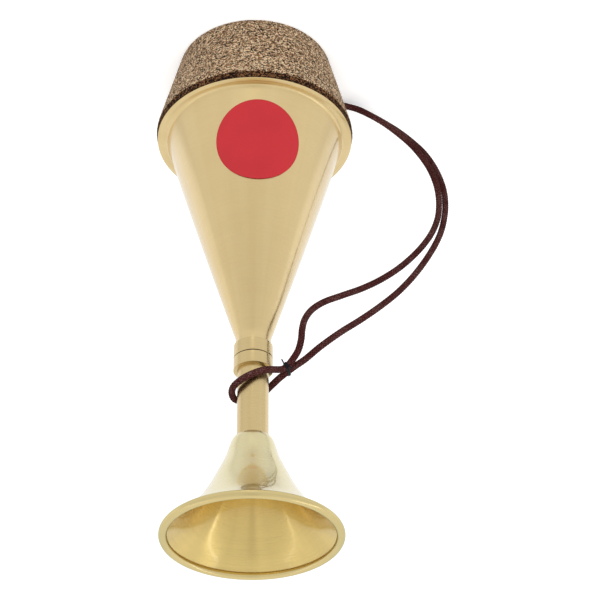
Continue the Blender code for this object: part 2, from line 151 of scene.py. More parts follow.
def number_setting(name, default):
    return bpy.props.FloatProperty(name=name, default=default, precision=3)


def steps_setting(name, default):
    return bpy.props.IntProperty(name=name, default=default, min=24)


def colour_setting(name, default):
    return bpy.props.FloatVectorProperty(name=name, default=default, subtype="COLOR", min=0.0, max=1.0)


def place_setting(name, default):
    return bpy.props.FloatVectorProperty(name=name, default=default, subtype="TRANSLATION")


def angle_setting(name, default):
    return bpy.props.FloatProperty(name=name, default=default, subtype="ANGLE")


class MuteSizes(bpy.types.PropertyGroup):
    """Sizes of the fine surface that the frame leaves out."""

    spin_steps: steps_setting("Facets round the brass pieces", 192)
    cork_steps: steps_setting("Facets round the cork", 640)
    cork_spacing: length_setting("Distance between points on the cork's side", 0.0004)
    cork_granule: length_setting("Size of the ground cork's granules", 0.00052)
    backing_granule: length_setting("Size of the dark ring's granules", 0.00048)
    cork_pitting: length_setting("Depth of the pits between granules", 0.00016)
    flange_fall: length_setting("Drop of the flange's eased outer edge", 0.00048)
    brass_spacing: length_setting("Distance between points on curved brass", 0.0012)
    label_rise: length_setting("Thickness of the label's film", 0.0002)
    label_gap: length_setting("Distance of the film from the cone", 0.0003)
    cord_radius: length_setting("Radius of the cord", 0.00125)
    braid_depth: length_setting("Depth of the grooves between the cord's strands", 0.00018)
    braid_pitch: length_setting("Length of one braid cell along the cord", 0.0013)
    rim_bead: length_setting("Radius of the bell's rolled rim", 0.0015)
    tie_thread: length_setting("Radius of the black tie's thread", 0.00026)
    tie_tail: length_setting("Length of the tie's loose ends", 0.0030)


class MuteColours(bpy.types.PropertyGroup):
    """Colours of the finishes."""

    brass: colour_setting("Lacquered brass", (0.80, 0.61, 0.28))
    brass_streak: colour_setting("Darker streaks in the brushed brass", (0.72, 0.53, 0.225))
    # Painted highlight: paler and yellower than the lacquered brass, for the white room mirrored on the
    # bell
    brass_outer_lit: colour_setting("Polished outside of the bell", (0.79, 0.69, 0.355))
    # Painted shade: deeper than the lacquered brass, standing in for the bell's inner reflections of
    # itself
    brass_inner_shade: colour_setting("Brushed inside of the bell", (0.81, 0.60, 0.20))
    brass_rim: colour_setting("Rolled rim of the bell", (0.75, 0.60, 0.27))
    brass_inside: colour_setting("Brass of the pieces inside", (0.60, 0.43, 0.18))
    cork_light: colour_setting("Lightest granules", (0.94, 0.71, 0.45))
    cork_middle: colour_setting("Most of the granules", (0.36, 0.20, 0.090))
    cork_red: colour_setting("Granules of bark", (0.34, 0.15, 0.07))
    cork_dark: colour_setting("Darkest granules", (0.016, 0.010, 0.006))
    backing_light: colour_setting("Dark ring's lightest granules", (0.25, 0.115, 0.048))
    backing: colour_setting("Dark ring's common granules", (0.030, 0.013, 0.007))
    backing_dark: colour_setting("Dark ring's darkest granules", (0.006, 0.003, 0.002))
    label: colour_setting("Red film", (0.49, 0.019, 0.026))
    cord: colour_setting("Ridges of the braid", (0.115, 0.021, 0.019))
    # Painted shade: near-black colour of the braid's grooves, where shade falls between the strands
    cord_groove_shade: colour_setting("Grooves of the braid", (0.006, 0.002, 0.002))
    # Painted highlights: pale specks that stand in for the glints of the waxed braid
    cord_glint: colour_setting("Worn fibres on the cord", (0.27, 0.155, 0.14))
    tie: colour_setting("Black tie", (0.005, 0.005, 0.006))


class MuteStudio(bpy.types.PropertyGroup):
    """Camera, and the brightness of what lights the mute."""

    camera_place: place_setting("Place of the camera", (0.0, -0.5329, 0.4832))
    camera_aim: place_setting("Point that the camera looks at", (-0.0173, 0.0, 0.1137))
    camera_roll: angle_setting("Turn of the picture about the view", math.radians(179.35))
    lens: number_setting("Focal length in mm", 104.3)
    front_light: number_setting("What metal sees far in front", 0.80)
    near_light: number_setting("Floor that metal sees close in front", 0.90)
    side_light: number_setting("What metal sees beside and behind", 0.95)
    floor_light: number_setting("Floor that metal sees beside and behind", 1.06)
    upper_light: number_setting("What metal sees above", 0.84)
    strip_light: number_setting("Upright strips that metal sees beside", 2.7)
    camera_shade: number_setting("Share of light left round the camera", 0.82)
    pool_light: number_setting("Bright spot on the floor close in front", 1.6)
    room_light: number_setting("Light all round", 0.85)


def make_collection():
    collection = bpy.data.collections.new("stop_mute")
    bpy.context.scene.collection.children.link(collection)
    return collection


def add_object(name, data):
    """A new object at the origin, in the mute's collection."""
    collection = bpy.data.collections.get("stop_mute") or make_collection()
    piece = bpy.data.objects.new(name, data)
    collection.objects.link(piece)
    return piece


# Outlines of the turned nodes


def seam_outline(node):
    """Closed outline of a turned node as (radius, height) points, read from its seam at +X."""
    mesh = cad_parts[node].data
    spots = {}
    for vertex in mesh.vertices:
        if abs(vertex.co.y) < 1e-6 and vertex.co.x > 0.0:
            spots[vertex.index] = (round(vertex.co.x, 6), round(vertex.co.z, 6))
    neighbours = {}
    for edge in mesh.edges:
        a, b = (spots.get(index) for index in edge.vertices)
        if a and b and a != b:
            neighbours.setdefault(a, set()).add(b)
            neighbours.setdefault(b, set()).add(a)
    start = max(neighbours, key=lambda spot: (spot[1], spot[0]))
    outline = [start]
    before, here = None, start
    while True:
        onward = [spot for spot in sorted(neighbours[here]) if spot != before]
        before, here = here, onward[0]
        if here == start:
            return turned_clockwise(outline)
        outline.append(here)


def turned_clockwise(outline):
    """The outline in the order that runs down its outer side."""
    area = 0.0
    for (ax, ay), (bx, by) in zip(outline, outline[1:] + outline[:1]):
        area += ax * by - bx * ay
    return outline if area < 0.0 else outline[::-1]


def fine_outline(outline, spacing, sharp=50.0, grained=False):
    """More points where the outline bends softly, or all over its open side if it is grained."""
    points = [Vector(point) for point in outline]
    bore = min(point.x for point in points)
    top = max(point.y for point in points)
    count = len(points)
    tangents = []
    for index, point in enumerate(points):
        before = (point - points[index - 1]).normalized()
        after = (points[(index + 1) % count] - point).normalized()
        through = (points[(index + 1) % count] - points[index - 1]).normalized()
        soft = math.degrees(before.angle(after)) < sharp
        tangents.append((through, through) if soft else (before, after))
    fine = []
    for index, point in enumerate(points):
        following = points[(index + 1) % count]
        span = (following - point).length
        leave = tangents[index][1]
        arrive = tangents[(index + 1) % count][0]
        bend = math.degrees(leave.angle(arrive))
        steps = max(1, math.ceil(bend / BEND_STEP))
        hidden = point.x == following.x == bore or point.y == following.y == top
        if bend > LEAST_BEND or grained and not hidden:
            steps = max(steps, math.ceil(span / spacing))
        for step in range(steps):
            t = step / steps
            fine.append(
                (2 * t ** 3 - 3 * t ** 2 + 1) * point + (t ** 3 - 2 * t ** 2 + t) * span * leave
                + (3 * t ** 2 - 2 * t ** 3) * following + (t ** 3 - t ** 2) * span * arrive
            )
    return [(point.x, point.y) for point in fine]


def outer_radius(outline, height):
    """Largest radius of an outline at a height."""
    crossings = []
    for (ax, ay), (bx, by) in zip(outline, outline[1:] + outline[:1]):
        if min(ay, by) <= height <= max(ay, by) and ay != by:
            crossings.append(ax + (bx - ax) * (height - ay) / (by - ay))
    return max(crossings)


def eased_edge(outline, fall):
    """The outline with the upper corner of its widest part sloped down by the given fall."""
    width = max(across for across, up in outline)
    level = max(up for across, up in outline if across > width - fall)
    corner = [point for point in outline if point[0] > width - fall and point[1] > level - fall]
    eased = [(width - fall * inward, level - fall * drop) for inward, drop in EASED_SLOPE]
    at = outline.index(corner[0])
    return outline[:at] + eased + outline[at + len(corner):]


# Nodes of geometry and shader trees


def new_tree(name, kind, inputs, outputs):
    """A node tree with a socket for each named input and output, and its two ends."""
    tree = bpy.data.node_groups.new(name, kind)
    for way, sockets in (("INPUT", inputs), ("OUTPUT", outputs)):
        for label, socket in sockets.items():
            tree.interface.new_socket(label, in_out=way, socket_type="NodeSocket" + socket)
    return tree, tree.nodes.new("NodeGroupInput").outputs, tree.nodes.new("NodeGroupOutput").inputs


def tree_named(name, build):
    return bpy.data.node_groups.get(name) or build()


def feed(tree, inputs, values):
    """Links or sets a node's inputs, given by name or number."""
    for label, value in values.items():
        socket = inputs[label]
        if isinstance(value, bpy.types.NodeSocket):
            tree.links.new(value, socket)
        elif socket.type == "RGBA":
            socket.default_value = (*value, 1.0)[:4]
        else:
            socket.default_value = value


def add_node(tree, kind, values=None, **settings):
    """A new node with its settings made and its inputs fed."""
    node = tree.nodes.new(kind)
    for name, value in settings.items():
        setattr(node, name, value)
    feed(tree, node.inputs, values or {})
    return node


def made(tree, kind, values=None, **settings):
    """The first output of a new node."""
    return add_node(tree, kind, values, **settings).outputs[0]


def maths(tree, operation, *values):
    return made(tree, "ShaderNodeMath", dict(enumerate(values)), operation=operation)


def vectors(tree, operation, *values):
    return made(tree, "ShaderNodeVectorMath", dict(enumerate(values)), operation=operation)


def times(tree, first, second):
    return maths(tree, "MULTIPLY", first, second)


def plus(tree, first, second):
    return maths(tree, "ADD", first, second)


def off(tree, value, centre):
    """Distance of a value from a centre."""
    return maths(tree, "ABSOLUTE", maths(tree, "SUBTRACT", value, centre))


def scaled(tree, vector, amount):
    return made(tree, "ShaderNodeVectorMath", {0: vector, "Scale": amount}, operation="SCALE")


def ramp(tree, value, low, high, start, end):
    """A value carried from one range to another, and held at its ends."""
    values = {"Value": value, "From Min": low, "From Max": high, "To Min": start, "To Max": end}
    return made(tree, "ShaderNodeMapRange", values, clamp=True)


def share_of(tree, value, low, high):
    return ramp(tree, value, low, high, 0.0, 1.0)


def within(tree, distance, full, none):
    """1 up to one distance, falling to 0 at another."""
    return ramp(tree, distance, full, none, 1.0, 0.0)


def mix_colours(tree, share, first, second):
    return add_node(tree, "ShaderNodeMix", {0: share, 6: first, 7: second}, data_type="RGBA").outputs[2]


def noise(tree, vector, scale, detail=2.0):
    return made(tree, "ShaderNodeTexNoise", {"Vector": vector, "Scale": scale, "Detail": detail})


def object_place(tree):
    return tree.nodes.new("ShaderNodeTexCoord").outputs["Object"]


def along_axes(tree, vector):
    return add_node(tree, "ShaderNodeSeparateXYZ", {"Vector": vector}).outputs


# Geometry node trees


def put_back(tree, geometry, given, output):
    """Ends a tree in Realize Instances and Set Material."""
    real = made(tree, "GeometryNodeRealizeInstances", {"Geometry": geometry})
    values = {"Geometry": real, "Material": given["Material"]}
    feed(tree, output, {"Geometry": made(tree, "GeometryNodeSetMaterial", values)})
    return tree


def along_normal(tree, geometry, amount):
    """Moves a surface along its normals."""
    normal = made(tree, "GeometryNodeInputNormal")
    values = {"Geometry": geometry, "Offset": scaled(tree, normal, amount)}
    return made(tree, "GeometryNodeSetPosition", values)


def spun_tree():
    """Spins an outline of (radius, height) round the mute's axis, and pits its surface."""
    tree, given, output = new_tree(
        "Spun piece",
        "GeometryNodeTree",
        {
            "Geometry": "Geometry", "Steps": "Int", "Granule": "Float", "Pitting": "Float",
            "Material": "Material",
        },
        {"Geometry": "Geometry"},
    )
    place = along_axes(tree, made(tree, "GeometryNodeInputPosition"))
    flat = made(tree, "ShaderNodeCombineXYZ", {
        "X": maths(tree, "SUBTRACT", place["X"], HUB_RADIUS),
        "Y": times(tree, place["Z"], -1.0),
    })
    laid = made(tree, "GeometryNodeSetPosition", {"Geometry": given["Geometry"], "Position": flat})
    outline = made(tree, "GeometryNodeMeshToCurve", {"Mesh": laid})
    hub = {"Radius": HUB_RADIUS, "Resolution": given["Steps"]}
    circle = made(tree, "GeometryNodeCurvePrimitiveCircle", hub)
    spun = made(tree, "GeometryNodeCurveToMesh", {"Curve": circle, "Profile Curve": outline})
    cells = {
        "Vector": made(tree, "GeometryNodeInputPosition"),
        "Scale": maths(tree, "DIVIDE", 1.0, given["Granule"]),
    }
    seam = made(tree, "ShaderNodeTexVoronoi", cells, feature="DISTANCE_TO_EDGE")
    rise = maths(tree, "MINIMUM", times(tree, seam, 4.0), 1.0)
    sink = times(tree, maths(tree, "SUBTRACT", rise, 1.0), given["Pitting"])
    return put_back(tree, along_normal(tree, spun, sink), given, output)


def keep_value(tree, geometry, name, value):
    """Stores a number on every point of a geometry."""
    values = {"Geometry": geometry, "Name": name, "Value": value}
    return made(tree, "GeometryNodeStoreNamedAttribute", values, data_type="FLOAT", domain="POINT")


def kept_value(tree, name):
    return made(tree, "GeometryNodeInputNamedAttribute", {"Name": name}, data_type="FLOAT")


def braid_tree():
    """Sweeps a round section along a path and raises a braid's cells on it."""
    tree, given, output = new_tree(
        "Braided cord",
        "GeometryNodeTree",
        {
            "Geometry": "Geometry", "Radius": "Float", "Depth": "Float", "Pitch": "Float",
            "Sides": "Int", "Strands": "Float", "Material": "Material",
        },
        {"Geometry": "Geometry"},
    )
    path = made(tree, "GeometryNodeMeshToCurve", {"Mesh": given["Geometry"]})
    reach = add_node(tree, "GeometryNodeSplineParameter").outputs["Length"]
    measured = keep_value(tree, path, "cord_length", reach)
    ring = {"Resolution": given["Sides"], "Radius": given["Radius"]}
    section = made(tree, "GeometryNodeCurvePrimitiveCircle", ring)
    side_turn = maths(tree, "DIVIDE", 2.0 * math.pi, given["Sides"])
    turn = times(tree, made(tree, "GeometryNodeInputIndex"), side_turn)
    turned = keep_value(tree, section, "cord_angle", turn)
    sweep = {"Curve": measured, "Profile Curve": turned, "Fill Caps": True}
    tube = made(tree, "GeometryNodeCurveToMesh", sweep)
    turns = times(tree, kept_value(tree, "cord_angle"), given["Strands"])
    run = maths(tree, "DIVIDE", times(tree, kept_value(tree, "cord_length"), math.pi), given["Pitch"])
    left = maths(tree, "SINE", plus(tree, turns, run))
    right = maths(tree, "SINE", maths(tree, "SUBTRACT", turns, run))
    ridge = maths(tree, "SQRT", maths(tree, "ABSOLUTE", times(tree, left, right)))
    ridged = keep_value(tree, tube, "cord_ridge", ridge)
    cell = maths(tree, "SUBTRACT", kept_value(tree, "cord_ridge"), BRAID_LEVEL)
    return put_back(tree, along_normal(tree, ridged, times(tree, cell, given["Depth"])), given, output)


def run_tree(name, points, closed, tree, values, sharp):
    """A plain mesh object from a line of points put through a geometry tree."""
    line = bpy.data.meshes.new(name)
    edges = [(index, index + 1) for index in range(len(points) - 1)]
    if closed:
        edges.append((len(points) - 1, 0))
    line.from_pydata(points, edges, [])
    raw = add_object(name + ".line", line)
    modifier = raw.modifiers.new("make", "NODES")
    modifier.node_group = tree
    for item in tree.interface.items_tree:
        if item.in_out == "INPUT" and item.name in values:
            modifier[item.identifier] = values[item.name]
    return plain_piece(name, raw, sharp)


def plain_piece(name, raw, sharp):
    """Swaps an object for the mesh that it makes."""
    mesh = bpy.data.meshes.new_from_object(raw.evaluated_get(bpy.context.evaluated_depsgraph_get()))
    bpy.data.objects.remove(raw)
    mesh.name = name
    return add_object(name, clean_mesh(mesh, sharp))


def clean_mesh(mesh, sharp):
    """Merges doubles, turns the faces outwards and shades the soft edges smooth."""
    work = bmesh.new()
    work.from_mesh(mesh)
    bmesh.ops.remove_doubles(work, verts=work.verts, dist=1e-7)
    if work.calc_volume(signed=True) < 0.0:
        bmesh.ops.reverse_faces(work, faces=work.faces)
    work.to_mesh(mesh)
    work.free()
    mesh.shade_smooth()
    mesh.set_sharp_from_angle(angle=math.radians(sharp))
    return mesh


def spin_node(node, material, body, steps, spacing, granule=1.0, pitting=0.0, snug=0.0, ease=0.0):
    """Stands a finely spun piece in the place of a turned node.

    Its bore is drawn in by snug where it is soldered, and the upper edge of its flange falls by ease.
    """
    outline = seam_outline(node)
    if ease:
        outline = eased_edge(outline, ease)
    bore = min(across for across, up in outline)
    outline = [(across - snug if across == bore else across, up) for across, up in outline]
    outline = fine_outline(outline, spacing, grained=pitting > 0.0)
    points = [(across, 0.0, up) for across, up in outline]
    values = {"Steps": steps, "Granule": granule, "Pitting": pitting, "Material": material}
    tree = tree_named("Spun piece", spun_tree)
    piece = run_tree(node + "_spun", points, True, tree, values, SHARP_TURNED)
    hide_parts(node)
    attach(piece, body)
    return piece


# Shader node groups


def brushed_group():
    """Lathe-brushed brass: fine rings round the axis, soft streaks along it and a faint haze."""
    group, given, output = new_tree(
        "Brushed brass",
        "ShaderNodeTree",
        {
            "Base": "Color", "Streak": "Color", "Ring Strength": "Float",
            "Rough Low": "Float", "Rough High": "Float",
        },
        {"Color": "Color", "Roughness": "Float", "Height": "Float"},
    )
    place = object_place(group)
    rings = noise(group, vectors(group, "MULTIPLY", place, (60.0, 60.0, 5200.0)), 1.0, 3.0)
    hair = noise(group, vectors(group, "MULTIPLY", place, (180.0, 180.0, 14000.0)), 1.0, 1.0)
    around = vectors(group, "NORMALIZE", vectors(group, "MULTIPLY", place, (1.0, 1.0, 0.0)))
    along = vectors(group, "MULTIPLY", place, (0.0, 0.0, 4.0))
    spoke = vectors(group, "MULTIPLY", around, (3.2, 3.2, 0.0))
    streaks = noise(group, vectors(group, "ADD", spoke, along), 1.0)
    haze = noise(group, place, 55.0, 3.0)
    lines = plus(group, times(group, rings, 0.6), times(group, hair, 0.4))
    darker_tone = plus(group, times(group, streaks, 0.6), times(group, haze, 0.4))
    tone = times(group, share_of(group, darker_tone, 0.38, 0.64), 0.7)
    ring_tone = times(group, ramp(group, lines, 0.35, 0.65, 0.0, 0.6), given["Ring Strength"])
    share = maths(group, "MINIMUM", plus(group, tone, ring_tone), 1.0)
    feed(group, output, {
        "Color": mix_colours(group, share, given["Base"], given["Streak"]),
        "Roughness": ramp(group, lines, 0.3, 0.7, given["Rough Low"], given["Rough High"]),
        "Height": times(group, lines, given["Ring Strength"]),
    })
    return group


def cork_group():
    """Ground cork: granules of mixed browns with dark seams between them."""
    group, given, output = new_tree(
        "Ground cork",
        "ShaderNodeTree",
        {"Light": "Color", "Middle": "Color", "Red": "Color", "Dark": "Color", "Granule": "Float"},
        {"Color": "Color", "Roughness": "Float", "Height": "Float"},
    )
    place = object_place(group)
    cells = {"Vector": place, "Scale": maths(group, "DIVIDE", 1.0, given["Granule"])}
    tint = add_node(group, "ShaderNodeTexVoronoi", cells).outputs["Color"]
    shade = add_node(group, "ShaderNodeSeparateColor", {"Color": tint}).outputs
    edge = made(group, "ShaderNodeTexVoronoi", cells, feature="DISTANCE_TO_EDGE")
    crumb = noise(group, place, 2600.0)
    pick = plus(group, times(group, shade["Red"], 0.85), times(group, crumb, 0.3))
    bark = share_of(group, shade["Green"], 0.62, 0.78)
    brown = mix_colours(group, bark, given["Middle"], given["Red"])
    low = mix_colours(group, share_of(group, pick, 0.32, 0.45), given["Dark"], brown)
    body = mix_colours(group, share_of(group, pick, 0.62, 0.84), low, given["Light"])
    seam = ramp(group, edge, 0.0, 0.10, 0.5, 1.0)
    feed(group, output, {
        "Color": mix_colours(group, seam, given["Dark"], body),
        "Roughness": ramp(group, crumb, 0.3, 0.7, 0.75, 0.95),
        "Height": plus(group, ramp(group, edge, 0.0, 0.25, 0.0, 0.7), times(group, crumb, 0.3)),
    })
    return group


# Materials


def new_material(name, values):
    """A material whose one shader has the given inputs."""
    material = bpy.data.materials.new(name)
    material.use_nodes = True
    shader = material.node_tree.nodes["Principled BSDF"]
    feed(material.node_tree, shader.inputs, values)
    return material, material.node_tree, shader.inputs


def shaded(colour, share):
    return [share * value for value in colour]


def bump(tree, height, distance):
    return made(tree, "ShaderNodeBump", {"Height": height, "Distance": distance, "Strength": 1.0})


def finish_with(tree, inputs, group, values, depth):
    """Feeds a shader's colour, roughness and relief from a shader group."""
    finish = add_node(tree, "ShaderNodeGroup", node_tree=group)
    feed(tree, finish.inputs, values)
    feed(tree, inputs, {
        "Base Color": finish.outputs["Color"],
        "Roughness": finish.outputs["Roughness"],
        "Normal": bump(tree, finish.outputs["Height"], depth),
    })


def brush_round(tree, inputs, amount):
    """Stretches highlights across rings that are brushed round the mute's axis."""
    around = vectors(tree, "CROSS_PRODUCT", (0.0, 0.0, 1.0), object_place(tree))
    tangent = made(
        tree, "ShaderNodeVectorTransform", {"Vector": vectors(tree, "NORMALIZE", around)},
        vector_type="VECTOR", convert_from="OBJECT", convert_to="WORLD"
    )
    feed(tree, inputs, {"Tangent": tangent, "Anisotropic": amount, "Anisotropic Rotation": 0.25})


def brass_material(name, base, streak, rings, rough, coat, coat_rough, brushed=0.0):
    """Brass with the brushed group's colour, roughness and rings, under a clear lacquer."""
    found = bpy.data.materials.get(name)
    if found:
        return found
    material, tree, inputs = new_material(name, {
        "Metallic": 1.0, "Coat Weight": coat, "Coat Roughness": coat_rough, "Coat IOR": 1.8,
    })
    low, high = rough
    values = {"Base": base, "Streak": streak, "Ring Strength": rings, "Rough Low": low, "Rough High": high}
    finish_with(tree, inputs, tree_named("Brushed brass", brushed_group), values, 0.00002)
    if brushed:
        brush_round(tree, inputs, brushed)
    return material


def satin_brass(colours):
    base, streak = colours.brass, colours.brass_streak
    return brass_material("satin_brass", base, streak, 0.5, (0.26, 0.38), 0.8, 0.05)


# Brass of the stem, the ferrules and the bell's foot: the lacquered brass darkened as painted shade,
# under a thinner, rougher coat and brushed round
def shaded_brass(colours):
    darker_tone, streak = (shaded(colour, 0.885) for colour in (colours.brass, colours.brass_streak))
    return brass_material("shaded_brass", darker_tone, streak, 0.5, (0.24, 0.32), 0.6, 0.10, 0.4)


def plain_brass(colours):
    plain = colours.brass_inside
    return brass_material("plain_brass", plain, colours.brass_streak, 0.8, (0.30, 0.45), 0.0, 0.1)


# Outside of the bell: polished under a full clear coat, its colour paled as painted highlight
def bright_brass(colours):
    pale = colours.brass_outer_lit
    return brass_material("bright_brass", pale, shaded(pale, 0.94), 0.2, (0.26, 0.32), 1.0, 0.02)


def rim_brass(colours):
    rim = colours.brass_rim
    material = brass_material("rim_brass", rim, shaded(rim, 0.94), 0.2, (0.22, 0.28), 0.3, 0.05)
    shader = material.node_tree.nodes["Principled BSDF"]
    shader.inputs["Specular Tint"].default_value = (0.62, 0.70, 0.62, 1.0)
    return material


# Inside of the bell: brushed round, its colour deepened as painted shade from the brass that it mirrors
def bell_brass(colours):
    inner_shade = colours.brass_inner_shade
    return brass_material("brushed_shaded_bell", inner_shade, shaded(inner_shade, 0.86), 0.8, (0.20, 0.29), 0.5, 0.05, 0.95)


def cork_material(name, light, middle, red, dark, granule, sheen):
    """Cork whose granules take four colours."""
    material, tree, inputs = new_material(name, {
        "Specular IOR Level": 0.1, "Sheen Weight": sheen, "Sheen Roughness": 0.3,
        "Sheen Tint": (1.0, 0.93, 0.82),
    })
    values = {"Light": light, "Middle": middle, "Red": red, "Dark": dark, "Granule": granule}
    finish_with(tree, inputs, tree_named("Ground cork", cork_group), values, 0.00025)
    return material


def cord_material(ridge, groove, glint):
    """Waxed dark cord: its grooves darkened as painted shade, and scattered pale specks on it as painted
    highlights.
    """
    material, tree, inputs = new_material("waxed_cord", {"Specular IOR Level": 0.04, "IOR": 1.3})
    fibre = noise(tree, object_place(tree), 3200.0)
    patch = noise(tree, object_place(tree), 120.0)
    height = add_node(tree, "ShaderNodeAttribute", attribute_name="cord_ridge").outputs["Fac"]
    # Painted shade: the colour goes towards the near-black groove colour where the braid's cells sink
    braid = mix_colours(tree, share_of(tree, height, 0.40, 0.98), groove, ridge)
    # Painted highlights: scattered pale specks mixed into the cord's colour
    glint_specks = times(tree, share_of(tree, fibre, 0.5, 0.7), ramp(tree, patch, 0.4, 0.7, 0.3, 1.0))
    feed(tree, inputs, {
        "Base Color": mix_colours(tree, glint_specks, braid, glint),
        "Roughness": ramp(tree, fibre, 0.3, 0.7, 0.40, 0.6),
        "Normal": bump(tree, fibre, 0.00012),
    })
    return material


def label_material(colour):
    """Red film with the slightest unevenness."""
    material, tree, inputs = new_material("red_film", {"Specular IOR Level": 0.3})
    grain = noise(tree, object_place(tree), 1400.0)
    cloud = share_of(tree, noise(tree, object_place(tree), 60.0), 0.35, 0.65)
    feed(tree, inputs, {
        "Base Color": mix_colours(tree, cloud, colour, shaded(colour, 0.90)),
        "Roughness": ramp(tree, grain, 0.3, 0.7, 0.36, 0.5),
        "Normal": bump(tree, grain, 0.00001),
    })
    return material


def tie_material(colour):
    """Black thread with a fine twist."""
    material, tree, inputs = new_material("black_tie_thread", {"Specular IOR Level": 0.2})
    twist = noise(tree, object_place(tree), 2400.0, 1.0)
    feed(tree, inputs, {
        "Base Color": mix_colours(tree, twist, colour, shaded(colour, 3.0)),
        "Roughness": ramp(tree, twist, 0.3, 0.7, 0.35, 0.6),
        "Normal": bump(tree, twist, 0.00005),
    })
    return material


# Cord paths


def smooth_path(points, spacing):
    """Points at an even spacing on a smooth curve through the given points."""
    nodes = [2 * points[0] - points[1]] + points + [2 * points[-1] - points[-2]]
    fine = []
    for a, b, c, d in zip(nodes, nodes[1:], nodes[2:], nodes[3:]):
        for step in range(16):
            t = step / 16
            fine.append(
                0.5 * (2 * b + (c - a) * t + (2 * a - 5 * b + 4 * c - d) * t ** 2
                       + (3 * b - a - 3 * c + d) * t ** 3)
            )
    fine.append(points[-1].copy())
    reach = [0.0]
    for a, b in zip(fine, fine[1:]):
        reach.append(reach[-1] + (b - a).length)
    count = max(2, round(reach[-1] / spacing))
    wanted = np.linspace(0.0, reach[-1], count + 1)
    spots = np.array([tuple(point) for point in fine])
    columns = [np.interp(wanted, reach, spots[:, axis]) for axis in range(3)]
    return [Vector(spot) for spot in zip(*columns)]


def cord_path():
    """The whole cord: up the inner strand, round the stem and down the outer strand."""
    route = (*reversed(INNER_ROUTE), TIE_FRONT, *LOOP_ROUTE, TIE_BACK, *OUTER_ROUTE)
    return [Vector(point) for point in route]


def braided(name, points, sizes, material):
    values = {
        "Radius": sizes.cord_radius, "Depth": sizes.braid_depth, "Pitch": sizes.braid_pitch,
        "Sides": 32, "Strands": 4.0, "Material": material,
    }
    return run_tree(name, points, False, tree_named("Braided cord", braid_tree), values, SHARP_CORD)


def round_tube(name, points, radius, material):
    """A plain round tube with closed ends."""
    curve = bpy.data.curves.new(name, "CURVE")
    curve.dimensions = "3D"
    curve.bevel_depth = radius
    curve.bevel_resolution = 4
    curve.use_fill_caps = True
    spline = curve.splines.new("POLY")
    spline.points.add(len(points) - 1)
    for target, point in zip(spline.points, points):
        target.co = (*point, 1.0)
    tube = plain_piece(name, add_object(name + ".line", curve), SHARP_CORD)
    tube.data.materials.clear()
    tube.data.materials.append(material)
    return tube


# Operators


